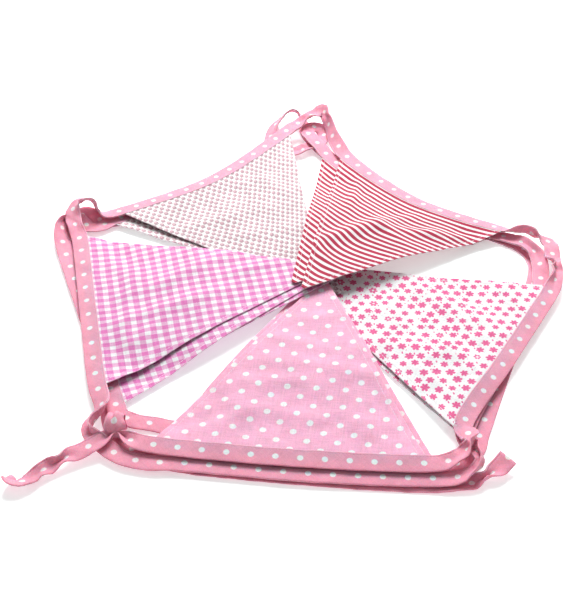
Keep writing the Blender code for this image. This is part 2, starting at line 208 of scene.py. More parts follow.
def even_points(rows, first, last, count):
    """count + 1 rows at even spacing along the curve from row first to row last."""
    fine = np.array([spline_point(rows, i, k / CURVE_STEPS)
                     for i in range(first, last) for k in range(CURVE_STEPS)] + [rows[last]])
    along = lengths_along(fine)
    wanted = np.linspace(0, along[-1], count + 1)
    return np.stack([np.interp(wanted, along, fine[:, axis]) for axis in range(4)], axis=1)


# %% Cut the curve into stations
PLAIN_STEP = 2.7
LEAST_STEPS = 3
RUN_STEPS = 60

rows, runs = [], []
for stretch in ROUTE:
    if stretch[0] == "run":
        runs.append((stretch[1], len(rows), stretch[5]))
    rows += [np.array(point, float) for point in (stretch[2] if stretch[0] == "corner" else stretch[2:5])]

stations, in_flag, spans, done = [], [], {}, 0
for name, first, tip in runs + [("", len(rows) - 1, None)]:
    plain_length = lengths_along(np.array(rows[done:first + 1]))[-1]
    gap = even_points(rows, done, first, max(LEAST_STEPS, round(plain_length / PLAIN_STEP)))
    gap = gap[(1 if stations else 0):(-1 if name else None)]
    stations += list(gap)
    in_flag += [0.0] * len(gap)
    if name:
        spans[name] = (len(stations), tip)
        stations += list(even_points(rows, first, first + 2, RUN_STEPS))
        in_flag += [1.0] * (RUN_STEPS + 1)
        done = first + 2
stations, in_flag = np.array(stations), np.array(in_flag)
print("stations:", len(stations))

# %% Directions at each station
UP = np.array([0.0, 0.0, 1.0])


def unit(vectors):
    """The same vectors with length 1."""
    return vectors / np.linalg.norm(vectors, axis=-1, keepdims=True)


lean = np.radians(stations[:, 3])
centre = stations[:, :3].copy()
centre[:, 2] = np.maximum(centre[:, 2], np.abs(np.sin(lean)) * TAPE_HALF + np.cos(lean) * TAPE_REST)
along = unit(np.gradient(centre, axis=0))
level = unit(np.cross(along, UP))
across = level * np.cos(lean)[:, None] + np.cross(level, along) * np.sin(lean)[:, None]
upward = np.cross(across, along)
distance = lengths_along(centre)
print("tape length in metres:", round(distance[-1] * MM, 3))

# %% [markdown]
# ## From points to a closed cloth mesh
# Cloth has two sides, so each piece is a closed shell with a thin body. Every point also
# gets its place on the flat cut, in millimetres, before the cloth was sewn. The prints are
# painted on that flat cut, so they follow the cloth round every wave, as real prints do. A
# second value says how far the point is from the sewn edge, which places the stitches.

# %% A closed mesh with its cut plan
def cloth_piece(name, points, faces, cut, seam, node):
    """Makes one closed cloth piece in place of a CAD node. Points and cut are in millimetres."""
    mesh = bpy.data.meshes.new(name)
    mesh.from_pydata([tuple(p) for p in (points + SHIFT) * MM], [], faces)
    shell = bmesh.new()
    shell.from_mesh(mesh)
    bmesh.ops.recalc_face_normals(shell, faces=shell.faces)
    shell.to_mesh(mesh)
    shell.free()
    corner_points = np.zeros(len(mesh.loops), np.int32)
    mesh.loops.foreach_get("vertex_index", corner_points)
    plan = mesh.uv_layers.new(name="cut")
    plan.data.foreach_set("uv", (cut[corner_points] * MM).astype(np.float32).ravel())
    edge = mesh.attributes.new("seam", "FLOAT", "POINT")
    edge.data.foreach_set("value", seam.astype(np.float32))
    mesh.polygons.foreach_set("use_smooth", [True] * len(mesh.polygons))
    piece = bpy.data.objects.new(name, mesh)
    bpy.context.scene.collection.objects.link(piece)
    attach(piece, "root")
    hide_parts(node)
    return piece


def waves(at, periods, seed):
    """A soft irregular wave along at, from about -1 to 1, which is the same every time."""
    total = 0.0
    for k, period in enumerate(periods):
        total = total + np.sin(2 * np.pi * at / period + 1.7 * seed * (k + 1) + k)
    return total / len(periods)


def smooth(value, low, high):
    """0 below low, 1 above high and a soft step between them."""
    t = np.clip((value - low) / (high - low), 0.0, 1.0)
    return t * t * (3 - 2 * t)


# %% [markdown]
# ## The tape
# The tape is a bias binding: a strip with its raw edges turned in, folded over the top edge
# of each flag and closed with one row of stitches near its open edge. It could be swept
# from a curve, but a curve gives one plain section all the way. Here the section is laid out
# at each station from a given list, with a round fold, two lips, a groove that the stitches
# pull in, and a slot that holds the flag.

# %% Section of the binding
TOP, BOTTOM = 0.85, 1.0
# One leaf of the binding from the slot to the fold: place across, share of the way
# from the slot's wall to the outside, and how much the stitches pucker it.
LEAF = [
    (7.15, 0.0, 0.0), (7.42, 0.18, 0.3), (7.5, 0.42, 0.6), (7.4, 0.72, 0.9), (7.1, 0.92, 1.0),
    (6.6, 1.0, 1.0), (6.2, 0.97, 1.0), (5.95, 0.8, 0.9), (5.75, 0.62, 0.6), (5.55, 0.8, 0.9),
    (5.25, 0.98, 1.0), (4.6, 1.02, 0.8), (3.4, 1.06, 0.4), (1.8, 1.1, 0.2), (0.0, 1.11, 0.0),
    (-1.8, 1.1, 0.0), (-3.6, 1.06, 0.0), (-5.0, 1.0, 0.0), (-6.1, 0.88, 0.0), (-6.9, 0.66, 0.0),
    (-7.35, 0.35, 0.0)]
SLOT_IN_FLAG, SLOT_PLAIN = 8.6, 1.0
WALL_IN_FLAG, WALL_PLAIN = 0.45, 0.08

soft_flag = np.convolve(np.pad(in_flag, 2, mode="edge"), np.ones(5) / 5, mode="valid")
slot_depth = SLOT_PLAIN + (SLOT_IN_FLAG - SLOT_PLAIN) * in_flag
wall = WALL_PLAIN + (WALL_IN_FLAG - WALL_PLAIN) * np.maximum(soft_flag, in_flag)
turn = np.linalg.norm(np.gradient(along, axis=0), axis=1) / np.gradient(distance)
turn = np.convolve(np.pad(turn, 4, mode="edge"), np.ones(9) / 9, mode="valid")
crease = smooth(turn, 0.012, 0.05)
print("stations in a tight turn:", int((crease > 0.5).sum()))

# %% Lengthwise folds where the tape is pulled together
# Pinches: columns are the flag before it, millimetres after that flag's end (or before its
# start where they are negative), half length in millimetres and fold in degrees.
PINCHES = [
    ("gingham_1", -321, 9, 72), ("gingham_1", -300, 14, 24), ("gingham_1", -60, 16, 16),
    ("gingham_1", 30, 10, 26), ("rosebud_1", 34, 9, 20), ("rosebud_2", 30, 11, 34),
    ("rosebud_3", 32, 8, 50), ("rosebud_3", 62, 9, 30), ("stripe_2", 40, 18, 44),
    ("stripe_3", 18, 8, 34), ("stripe_3", 56, 6, 22), ("stripe_3", 80, 6, 68), ("stripe_3", 95, 13, 46),
    ("gingham_2", 55, 9, 66), ("gingham_3", 16, 7, 24), ("gingham_3", 44, 6, 30),
    ("flower_2", 34, 17, 66), ("flower_3", 22, 7, 76), ("flower_3", 38, 8, 30),
    ("dots_2", 82, 18, 56), ("dots_3", 31, 12, 84), ("dots_3", 77, 8, 64), ("dots_3", 94, 7, 34),
    ("dots_3", 132, 9, 46), ("dots_3", 176, 15, 38),
]
fold_angle = np.zeros(len(distance))
for name, after, half_length, degrees in PINCHES:
    start = spans[name][0]
    middle = distance[start + RUN_STEPS if after > 0 else start] + after
    near = np.exp(-((distance - middle) / half_length) ** 2)
    fold_angle = np.maximum(fold_angle, math.radians(degrees) * near)
print("most folded, in degrees:", round(math.degrees(fold_angle.max())))


# %% Lay the sections out
# Heights of the tape's small waves in millimetres: puckers along the stitches, creases in
# tight turns, waves where no flag stiffens the tape, and long waves everywhere.
PUCKER, CREASED, LOOSE_WAVE, LONG_WAVE = 0.12, 0.45, 0.3, 0.16
LOWEST = 0.03


def folded(a, height):
    """Points at a across and height up on a tape that is folded lengthwise by fold_angle."""
    side_angle = fold_angle * np.tanh(a)
    sideways = a * np.cos(fold_angle) - height * np.sin(side_angle)
    raised = np.sin(fold_angle) * (np.sqrt(a * a + 1.0) - 1.0) + height * np.cos(side_angle)
    return centre + across * sideways[:, None] + upward * raised[:, None]


def leaf_points(side):
    """The points of the upper leaf (side 1) or the lower one (side -1), as station by point."""
    outside = TOP if side > 0 else BOTTOM
    grid, flat = [], []
    pucker = waves(distance, (5.4, 7.3, 3.9), 3 + side)
    drift = waves(distance, (23.0, 61.0, 37.0), 5)
    loose = 1 - soft_flag
    for place, share, pull in [(None, 0.0, 0.0)] + LEAF:
        a = TAPE_HALF - slot_depth if place is None else np.full(len(distance), place)
        height = wall + (outside - wall) * share
        height = height + PUCKER * pull * pucker * (0.4 + soft_flag) * (side > 0 or 0.3)
        height = height * side
        shared = crease * CREASED * waves(distance + 0.9 * a, (8.5, 13.0), 7)
        shared = shared + loose * LOOSE_WAVE * waves(distance - 1.3 * a, (11.0, 17.0, 29.0), 4)
        shared = shared + LONG_WAVE * waves(distance + 0.4 * a, (19.0, 31.0), 9)
        height = height + shared * (share > 0)
        a = a + 0.25 * drift + 0.14 * pucker * (a > 5)
        grid.append(folded(a, height))
        flat.append(a)
    return np.stack(grid, axis=1), np.stack(flat, axis=1)


upper, upper_flat = leaf_points(1)
lower, lower_flat = leaf_points(-1)
fold = folded(np.full(len(distance), -TAPE_HALF), np.zeros(len(distance)))
rings = np.concatenate([upper, fold[:, None], lower[:, ::-1]], axis=1)
ring_flat = np.concatenate([upper_flat, np.full((len(fold), 1), -TAPE_HALF), lower_flat[:, ::-1]], axis=1)
rings[:, :, 2] = np.maximum(rings[:, :, 2], LOWEST)
print("points in a section:", rings.shape[1])

# %% [markdown]
# ## The knot
# The long tie is knotted once beside the last flag. A real knot passes through itself, which
# makes a mesh that nobody can read. What shows is a narrow pair of tapes that goes in and
# out, and one pleated turn of the tape round them. So the turn is made as a closed band of
# the same cloth, and it becomes part of the tape's mesh.

# %% One pleated turn round the tie
KNOT_MIDDLE = np.array([-139.0, -171.5, 11.0])
KNOT_AXIS = unit(np.array([-0.97, -0.22, 0.0]))
KNOT_RADIUS = 8.4
KNOT_STEPS, BAND_STEPS = 64, 26
BAND_HALF, BAND_THICK = 8.0, 1.5
# Where the band lies on the flat cut, past the last dot that shows.
KNOT_CUT = 300
# Depths of the band's forms in millimetres: pleats across it, ripples round it, sides that
# are drawn in, a groove along its middle, one frilled side, a crown and a slant.
PLEAT, RIPPLE, DRAWN_IN, GROOVE, FRILL, CROWN, SLANT = 0.63, 0.36, 3.6, 1.3, 0.7, 0.6, 1.5

turned = np.linspace(0, 2 * np.pi, KNOT_STEPS, endpoint=False)[:, None]
over = np.linspace(0, 2 * np.pi, 2 * BAND_STEPS, endpoint=False)[None, :]
band_a = np.cos(over) * (1 - 0.12 * np.cos(2 * over))
band_half = BAND_HALF + np.cos(turned - 0.9) + 0.6 * np.sin(3 * turned)
pleats = PLEAT * np.cos(8 * band_a + 1.5 * np.sin(turned)) + RIPPLE * np.sin(5 * turned + 3 * band_a)
drawn_in = DRAWN_IN * smooth(np.abs(band_a), 0.35, 1.0)
groove = GROOVE * np.exp(-((band_a - 0.15 * np.sin(turned)) / 0.14) ** 2)
frill = FRILL * smooth(-band_a, 0.7, 1.0) * np.sin(3 * turned + 0.4)
crown = CROWN * (1 - band_a ** 2)
outward = KNOT_RADIUS + np.sin(over) * BAND_THICK / 2 + pleats + crown + frill - drawn_in - groove
back = np.cross(UP, KNOT_AXIS)
slide = band_a * band_half + SLANT * np.sin(turned + 0.6)
knot = (KNOT_MIDDLE + KNOT_AXIS * slide[..., None] + back * (np.cos(turned) * outward)[..., None]
        + UP * (np.sin(turned) * outward)[..., None])
knot_flat = np.stack([band_a * band_half + 0 * turned,
                      KNOT_CUT + turned * KNOT_RADIUS + 0 * over], axis=2)
print("knot top in millimetres:", round(float(knot[..., 2].max()), 1))

# %% Close the tape and put it in place
count, sides = rings.shape[:2]
faces = []
for i in range(count - 1):
    for k in range(sides):
        a, b = i * sides + k, i * sides + (k + 1) % sides
        faces.append((a, b, b + sides, a + sides))
faces.append(tuple(range(sides)))
faces.append(tuple((count - 1) * sides + k for k in range(sides)))
first, band_sides = count * sides, 2 * BAND_STEPS
for i in range(KNOT_STEPS):
    for k in range(band_sides):
        a, b = i * band_sides + k, i * band_sides + (k + 1) % band_sides
        c, d = [(n + band_sides) % (KNOT_STEPS * band_sides) for n in (b, a)]
        faces.append((first + a, first + b, first + c, first + d))
tape_cut = np.stack([ring_flat, np.repeat(distance[:, None], sides, axis=1)], axis=2)
tape_points = np.concatenate([rings.reshape(-1, 3), knot.reshape(-1, 3)])
tape_cut = np.concatenate([tape_cut.reshape(-1, 2), knot_flat.reshape(-1, 2)])
tape = cloth_piece("binding_tape", tape_points, faces, tape_cut, TAPE_HALF - tape_cut[:, 0], "tape")
print("faces in the tape:", len(tape.data.polygons))

# %% [markdown]
# ## The flags
# Each flag is two triangles of cotton, sewn right sides together and turned out, then
# pressed and stitched again close to the edge. So the edge is round and a little thick,
# with the seam allowance inside it, and the middle is thinner. A grid runs from the slot in
# the tape down to the tip. Its columns crowd together at both sides, where the round edge
# and the stitched groove need them.

# %% How the flags lie
PITCH, LOOSE = 1.35, 0.9
RISE_RADII, LOOSE_RADII = (80.0, 185.0), (60.0, 140.0)
WAVE_HEIGHT, WAVE_LENGTH = 1.6, 62.0
FLAG_HALF = 0.5
# Prints: columns are print, place of its lowest flag in the middle pile, angle of its waves.
PRINTS = {
    "flower": (0, 40.0),
    "rosebud": (3, -35.0),
    "dots": (6, 0.0),
    "gingham": (9, 70.0),
    "stripe": (12, 10.0),
}


def lie_height(x, y, print_name, layer):
    """Height of the middle of a flag's cloth where it lies on the flags below it."""
    lowest, angle = PRINTS[print_name]
    radius = np.hypot(x, y)
    share = 1 - smooth(radius, *RISE_RADII)
    loose = LOOSE * smooth(radius, *LOOSE_RADII)
    turned = x * math.cos(math.radians(angle)) + y * math.sin(math.radians(angle))
    wave = WAVE_HEIGHT * (0.5 + 0.5 * np.sin(2 * np.pi * turned / WAVE_LENGTH)) * (1 - share)
    return FLAG_HALF + layer * (PITCH + loose) + lowest * PITCH * share + wave


# %% Soft folds in the top flags
# Folds: columns are the middle of the fold on the flat flag (to the right and down, in
# millimetres), its direction in degrees, its half width, half length and height.
FOLDS = {
    "stripe_3": [(-12, 92, 114, 9, 62, 4.2), (42, 42, 150, 8, 40, 3.2), (-46, 34, 64, 7, 30, 2.4),
                 (14, 60, 20, 6, 30, 1.8), (-8, 134, 20, 7, 30, 2.2)],
    "gingham_3": [(-20, 60, 78, 8, 60, 2.3), (28, 95, 70, 9, 50, 2.4), (5, 30, 12, 8, 60, 1.6),
                  (14, 140, 84, 6, 34, 1.8), (-50, 34, 50, 7, 30, 1.6)],
    "rosebud_3": [(40, 40, 60, 12, 50, 2.0), (-35, 50, 10, 10, 40, 1.5), (0, 96, 24, 8, 40, 1.4)],
    "dots_3": [(-22, 88, 6, 8, 50, 1.8), (24, 70, -8, 7, 46, 1.7), (4, 36, 4, 8, 60, 1.5),
               (-48, 40, 66, 8, 36, 1.6), (14, 118, 12, 7, 36, 1.6), (46, 34, 110, 8, 30, 1.4),
               (0, 150, -10, 6, 24, 1.3)],
    "flower_3": [(-30, 60, 100, 11, 50, 1.9), (34, 60, 70, 10, 46, 1.8), (0, 110, 20, 8, 36, 1.5)],
}


def fold_rise(name, u, v):
    """How far the folds lift the cloth at the flat place u, v."""
    rise = 0.0
    for mid_u, mid_v, angle, half_width, half_length, height in FOLDS.get(name, ()):
        c, s = math.cos(math.radians(angle)), math.sin(math.radians(angle))
        lengthwise = (u - mid_u) * c + (v - mid_v) * s
        sideways = (v - mid_v) * c - (u - mid_u) * s
        rise = rise + height * np.exp(-(sideways / half_width) ** 2 - (lengthwise / half_length) ** 2)
    return rise


# %% The grid of one flag
MARGIN = 8.0
TIP_WIDTH = 4.0
FALL_SHARE = 0.5
SEAM_IN = 5.0
EDGE_COLUMNS = np.array([0.0, 0.1, 0.35, 0.8, 1.6, 3.0, 4.2, 4.7, 5.0, 5.3, 5.8, 7.2])
MIDDLE_COLUMNS = 38
# Rows inside the tape's slot, rows above the tip (as distances from it), and how many between.
SLOT_ROWS = [-MARGIN, -7.9, -7.6, -5.0, -2.0]
TIP_ROWS = [0.7, 0.3, 0.08, 0.0]
MIDDLE_ROWS = 62
LAST_MIDDLE_ROW = 1.4
# Heights in millimetres: crumples near the ring, finer ones, gathers at the tape, side puckers.
CRUMPLE, FINE_CRUMPLE, GATHER, SIDE_PUCKER = 0.75, 0.4, 0.16, 0.17


def columns_at(width):
    """Distances of the grid's columns from the left side, for one row of that width."""
    squeeze = min(1.0, 0.8 * width / 2 / EDGE_COLUMNS[-1])
    left = EDGE_COLUMNS * squeeze
    middle = np.linspace(left[-1], width - left[-1], MIDDLE_COLUMNS + 2)[1:-1]
    return np.concatenate([left, middle, (width - left)[::-1]])


def rounding(gap):
    """1 inside the cloth, falling to 0 in a quarter circle at its edge."""
    return np.sqrt(1 - (1 - np.clip(gap / 0.7, 0.0, 1.0)) ** 2)


def flag_grid(name):
    """Middle, upward direction, half thickness, flat place and side distance of a flag's grid."""
    print_name, number = name.split("_")
    layer = int(number) - 1
    start, tip = spans[name]
    part_of_tape = slice(start, start + RUN_STEPS + 1)
    mouth = centre[part_of_tape] + across[part_of_tape] * TAPE_HALF
    share_at = np.linspace(0, 1, RUN_STEPS + 1)
    width = lengths_along(mouth)[-1]
    tip = np.array([*tip, 0.0])
    height = np.linalg.norm((tip - mouth[RUN_STEPS // 2])[:2])
    edge = unit(mouth[-1] - mouth[0]) * TIP_WIDTH / 2
    lift = mouth[:, 2] - lie_height(mouth[:, 0], mouth[:, 1], print_name, layer)
    v_rows = np.concatenate([SLOT_ROWS, np.linspace(0, height - LAST_MIDDLE_ROW, MIDDLE_ROWS),
                             height - np.array(TIP_ROWS)])
    middle, upward_at, half, flat, side = [], [], [], [], []

    def along_mouth(share, values):
        """The values of the stations at these shares of the flag's top."""
        return np.stack([np.interp(share, share_at, values[:, axis]) for axis in range(3)], axis=1)

    for v in v_rows:
        down = max(v, 0.0) / height
        row_width = width * (1 - down) + TIP_WIDTH * down
        place = columns_at(row_width)
        share = place / row_width
        top = along_mouth(share, mouth)
        inward = along_mouth(share, across[part_of_tape])
        normal = along_mouth(share, upward[part_of_tape])
        end = tip + edge * (2 * share - 1)[:, None]
        point = top * (1 - down) + end * down
        u = (share - 0.5) * row_width
        e = np.minimum(place, row_width - place)
        if v <= 0:
            point = top + inward * v
        else:
            lying = lie_height(point[:, 0], point[:, 1], print_name, layer)
            raised = np.interp(share, share_at, lift) * max(0.0, 1 - down / FALL_SHARE) ** 2
            outer = smooth(np.hypot(point[:, 0], point[:, 1]), *RISE_RADII)
            started = smooth(v, 0.0, 22.0)
            x, y = point[:, 0], point[:, 1]
            crumple = CRUMPLE * waves(x * 0.8 + y * 0.6, (33.0, 21.0, 47.0), len(print_name))
            crumple = (crumple + FINE_CRUMPLE * waves(x * -0.5 + y, (17.0, 27.0), layer + 2)) * outer
            gather = GATHER * waves(u, (9.0, 6.2, 13.0), layer + 1) * np.exp(-((v - 3.0) / 5.0) ** 2)
            pucker = SIDE_PUCKER * waves(np.full_like(u, v) + u * 0.1, (7.1, 10.3, 5.2), layer + 3)
            pucker = pucker * np.exp(-((e - SEAM_IN + 1.0) / 3.5) ** 2) * (0.35 + 0.65 * outer)
            point[:, 2] = lying + raised + started * (crumple + fold_rise(name, u, v)) + gather + pucker
            point[:, 2] = np.maximum(point[:, 2], FLAG_HALF)
            normal = unit(normal + (UP - normal) * smooth(v, 0.0, 12.0))
        body = 1 - 0.28 * smooth(e, 5.2, 7.0) - 0.3 * np.exp(-((e - SEAM_IN) / 0.35) ** 2)
        round_edge = np.minimum(rounding(e), min(rounding(v + MARGIN), rounding(height - v)))
        middle.append(point)
        upward_at.append(normal)
        half.append(FLAG_HALF * body * round_edge)
        flat.append(np.stack([u, np.full_like(u, v)], axis=1))
        side.append(e)
    return [np.array(x) for x in (middle, upward_at, half, flat, side)], width, height


# %% Make a flag from its grid
def make_flag(name):
    """A closed flag: two leaves that share the points of their rim."""
    (middle, normal, half, flat, side), width, height = flag_grid(name)
    n_rows, n_columns = half.shape
    rim = np.zeros((n_rows, n_columns), bool)
    rim[[0, -1], :] = True
    rim[:, [0, -1]] = True
    top_index = np.arange(n_rows * n_columns).reshape(n_rows, n_columns)
    low_index = top_index.copy()
    low_index[~rim] = n_rows * n_columns + np.arange((~rim).sum())
    lift = half[..., None] * normal
    lift[rim] = 0.0
    points = np.concatenate([(middle + lift).reshape(-1, 3), (middle - lift)[~rim]])
    cut = np.concatenate([flat.reshape(-1, 2), flat[~rim]])
    seam = np.concatenate([side.ravel(), side[~rim]])
    faces = []
    for index, order in ((top_index, 1), (low_index, -1)):
        a, b = index[:-1, :-1].ravel(), index[1:, :-1].ravel()
        c, d = index[1:, 1:].ravel(), index[:-1, 1:].ravel()
        faces += [face[::order] for face in zip(a.tolist(), b.tolist(), c.tolist(), d.tolist())]
    flag = cloth_piece("pennant_" + name, points, faces, cut, seam, "flag_" + name)
    name.split("_")[0] + "_cotton"
    return flag


flags = {name: make_flag(name) for name in spans}
print("flags:", len(flags), "with", len(flags["dots_3"].data.polygons), "faces each")

# %% [markdown]
# ## Painting cloth with fields
# A shader node graph is a sum written with wires. To keep such sums readable, a small class
# lets us write them as sums: each plus or times adds one Math node to the material.

# %% A field is a number at each place on the cloth
class Field:
    """A number at each place on the cloth, which is the output of a node."""

    def __init__(self, socket):
        self.socket = socket

    def made_by(self, operation, *values):
        """The output of a new Math node fed with these values."""
        tree = self.socket.id_data
        node = tree.nodes.new("ShaderNodeMath")
        node.operation = operation
        for slot, value in zip(node.inputs, values):
            if isinstance(value, Field):
                tree.links.new(value.socket, slot)
            else:
                slot.default_value = value
        return Field(node.outputs[0])

    def __add__(self, other):
        return self.made_by("ADD", self, other)

    def __radd__(self, other):
        return self.made_by("ADD", other, self)

    def __sub__(self, other):
        return self.made_by("SUBTRACT", self, other)

    def __rsub__(self, other):
        return self.made_by("SUBTRACT", other, self)

    def __mul__(self, other):
        return self.made_by("MULTIPLY", self, other)

    def __rmul__(self, other):
        return self.made_by("MULTIPLY", other, self)

    def __truediv__(self, other):
        return self.made_by("DIVIDE", self, other)

    def cos(self):
        """Cosine of a field in radians."""
        return self.made_by("COSINE", self)

    def floor(self):
        """The whole part."""
        return self.made_by("FLOOR", self)

    def root(self):
        """Square root."""
        return self.made_by("SQRT", self)

    def size(self):
        """The number without its sign."""
        return self.made_by("ABSOLUTE", self)

    def most(self, other):
        """The larger of two fields."""
        return self.made_by("MAXIMUM", self, other)

    def step(self, low, high):
        """A soft step from 0 at low to 1 at high. High may be the smaller one."""
        tree = self.socket.id_data
        node = tree.nodes.new("ShaderNodeMapRange")
        node.interpolation_type = "SMOOTHSTEP"
        tree.links.new(self.socket, node.inputs["Value"])
        flip = low > high
        node.inputs["From Min"].default_value = high if flip else low
        node.inputs["From Max"].default_value = low if flip else high
        node.inputs["To Min"].default_value = 1.0 if flip else 0.0
        node.inputs["To Max"].default_value = 0.0 if flip else 1.0
        return Field(node.outputs["Result"])


# %% Noise, lattices and colour mixing
def vector_of(x, y, z=0.0):
    """The three fields or numbers as one vector socket."""
    tree = x.socket.id_data
    node = tree.nodes.new("ShaderNodeCombineXYZ")
    for slot, value in zip(node.inputs, (x, y, z)):
        if isinstance(value, Field):
            tree.links.new(value.socket, slot)
        else:
            slot.default_value = value
    return node.outputs[0]


def noise(x, y, detail=2.0, layer=0.0):
    """Soft noise from about 0.2 to 0.8, with lumps about 1 apart in x and y."""
    tree = x.socket.id_data
    node = tree.nodes.new("ShaderNodeTexNoise")
    node.inputs["Scale"].default_value = 1.0
    node.inputs["Detail"].default_value = detail
    tree.links.new(vector_of(x, y, layer), node.inputs["Vector"])
    return Field(node.outputs["Fac"])


def chance(x, y, layer=0.0):
    """Three separate random numbers from 0 to 1 for each whole x, y."""
    tree = x.socket.id_data
    node = tree.nodes.new("ShaderNodeTexWhiteNoise")
    node.noise_dimensions = "3D"
    tree.links.new(vector_of(x, y, layer), node.inputs["Vector"])
    split = tree.nodes.new("ShaderNodeSeparateColor")
    tree.links.new(node.outputs["Color"], split.inputs[0])
    return [Field(split.outputs[k]) for k in range(3)]


def lattice(u, v, wide, deep, shift=0.0):
    """Place from the middle of its lattice cell, in millimetres, and the cell's numbers."""
    x, y = u / wide + shift, v / deep + shift
    column, row = x.floor(), y.floor()
    return (x - column - 0.5) * wide, (y - row - 0.5) * deep, column, row


def mixed(amount, low, high):
    """A colour from low at amount 0 to high at amount 1. Each is a colour or a colour socket."""
    tree = amount.socket.id_data
    node = tree.nodes.new("ShaderNodeMix")
    node.data_type = "RGBA"
    tree.links.new(amount.socket, node.inputs["Factor"])
    for slot, value in ((node.inputs[6], low), (node.inputs[7], high)):
        if isinstance(value, tuple):
            slot.default_value = (*value, 1.0)
        else:
            tree.links.new(value, slot)
    return node.outputs[2]


# %% [markdown]
# ## The cotton itself
# All six cloths are the same plain weave: threads go over and under each other, about 24 to
# the centimetre. Up close the weave makes tiny hills, thicker threads make faint streaks,
# and the thread ends give a soft sheen. The weave is a bump and a faint change of colour
# and roughness, because real geometry at that size would need millions of faces.

# %% Weave and stitches
THREAD = 0.42
STITCH_LENGTH = 2.6


def weave(u, v):
    """1 where a lengthwise thread is on top, -1 where a crosswise one is, with round tops."""
    return (u * (math.pi / THREAD)).cos() * (v * (math.pi / THREAD)).cos()


def streaks(u, v):
    """Uneven threads: faint long streaks both ways, about -0.5 to 0.5."""
    lengthwise = noise(u / 1.2, v / 14.0, 2.0)
    crosswise = noise(u / 14.0, v / 1.2, 2.0, 7.0)
    return lengthwise + crosswise - 1.0


def stitches(distance_in, along_edge, place):
    """1 on the thread of a row of stitches at that place in from the edge, else 0."""
    part_of_stitch = along_edge / STITCH_LENGTH
    part_of_stitch = (part_of_stitch - part_of_stitch.floor() - 0.5).size()
    return (distance_in - place).size().step(0.34, 0.2) * part_of_stitch.step(0.42, 0.34)


# %% One cotton material
# Lump sizes in millimetres of the grain, the creases and the large soft clouds.
GRAIN, CREASES, CLOUDS = 0.8, 9.0, 24.0
# Painted highlight: the light grey pink that the cloth turns towards at its sewn edge, where the edge
# catches the light.
EDGE_HIGHLIGHT = (0.80, 0.72, 0.75)


def cotton(name, paint, thread_colour, stitch_place, glow, bias=False):
    """Makes a cotton whose colour comes from paint(u, v), which gives a colour socket."""
    material = bpy.data.materials.new(name)
    material.use_nodes = True
    tree = material.node_tree
    shader = tree.nodes["Principled BSDF"]
    plan = tree.nodes.new("ShaderNodeUVMap")
    plan.uv_map = "cut"
    split = tree.nodes.new("ShaderNodeSeparateXYZ")
    tree.links.new(plan.outputs["UV"], split.inputs[0])
    u, v = Field(split.outputs[0]) * 1000.0, Field(split.outputs[1]) * 1000.0
    edge = tree.nodes.new("ShaderNodeAttribute")
    edge.attribute_name = "seam"
    inward = Field(edge.outputs["Fac"])
    warp, weft = ((u + v) * math.sqrt(0.5), (v - u) * math.sqrt(0.5)) if bias else (u, v)
    thread, slub = weave(warp, weft), streaks(warp, weft)
    clouds = noise(u / CLOUDS, v / CLOUDS, 4.0, 3.0)
    sewn = stitches(inward, v, stitch_place)
    colour = paint(u, v, thread)
    # Painted highlight: within 0.9 mm of the sewn edge, up to a third of the colour turns to that light
    # grey pink, where the edge catches the light.
    edge_highlight = inward.step(0.9, 0.0) * 0.35
    colour = mixed(edge_highlight, colour, EDGE_HIGHLIGHT)
    grain = noise(u / GRAIN, v / GRAIN, 2.0, 9.0) - 0.5
    shade = thread * 0.06 + slub * (0.14 if bias else 0.26) + grain * 0.3 + clouds * 0.3 + 0.84
    tint = tree.nodes.new("ShaderNodeCombineColor")
    for slot in tint.inputs:
        tree.links.new(shade.socket, slot)
    product = tree.nodes.new("ShaderNodeMix")
    product.data_type = "RGBA"
    product.blend_type = "MULTIPLY"
    product.inputs["Factor"].default_value = 1.0
    tree.links.new(colour, product.inputs[6])
    tree.links.new(tint.outputs[0], product.inputs[7])
    tree.links.new(mixed(sewn, product.outputs[2], thread_colour), shader.inputs["Base Color"])
    rough = thread * -0.04 + slub * 0.12 + 0.86 - sewn * 0.2
    tree.links.new(rough.socket, shader.inputs["Roughness"])
    creases = noise(u / CREASES, v / CREASES, 4.0, 5.0)
    height = thread * 0.03 + slub * (0.05 if bias else 0.12) + creases * 0.8 + sewn * 0.2
    bump = tree.nodes.new("ShaderNodeBump")
    bump.inputs["Strength"].default_value = 0.8
    bump.inputs["Distance"].default_value = MM
    tree.links.new(height.socket, bump.inputs["Height"])
    tree.links.new(bump.outputs[0], shader.inputs["Normal"])
    shader.inputs["Subsurface Weight"].default_value = 0.35
    shader.inputs["Subsurface Radius"].default_value = glow
    shader.inputs["Subsurface Scale"].default_value = 2.5 * MM
    shader.inputs["Sheen Weight"].default_value = 0.12
    shader.inputs["Sheen Roughness"].default_value = 0.45
    shader.inputs["Specular IOR Level"].default_value = 0.25
    return material


# %% [markdown]
# ## The five prints and the tape's dots
# Dots, gingham, stripes and small flowers are common dress prints. Each is drawn from its
# repeat, measured on the photo with a flag laid flat: how far apart its motifs are across
# and down, and how big one is. Nothing is traced. Gingham isn't printed but woven from white
# and coloured threads, so its half-tones come from the weave.

# %% Dots, for the tape and the front flags
PINK, TAPE_PINK, WHITE = (0.815, 0.455, 0.585), (0.775, 0.39, 0.485), (0.79, 0.775, 0.785)
DOT_EDGE = 0.35
# Repeats across and down in millimetres, and the radius of a dot.
DOT_REPEAT, DOT_RADIUS = (22.9, 18.6), 2.6
TAPE_DOT_REPEAT, TAPE_DOT_RADIUS = (60.0, 18.2), 2.35


def dot_at(x, y, radius):
    """1 inside a round dot, 0 outside."""
    return (x * x + y * y).root().step(radius + DOT_EDGE, radius - DOT_EDGE)


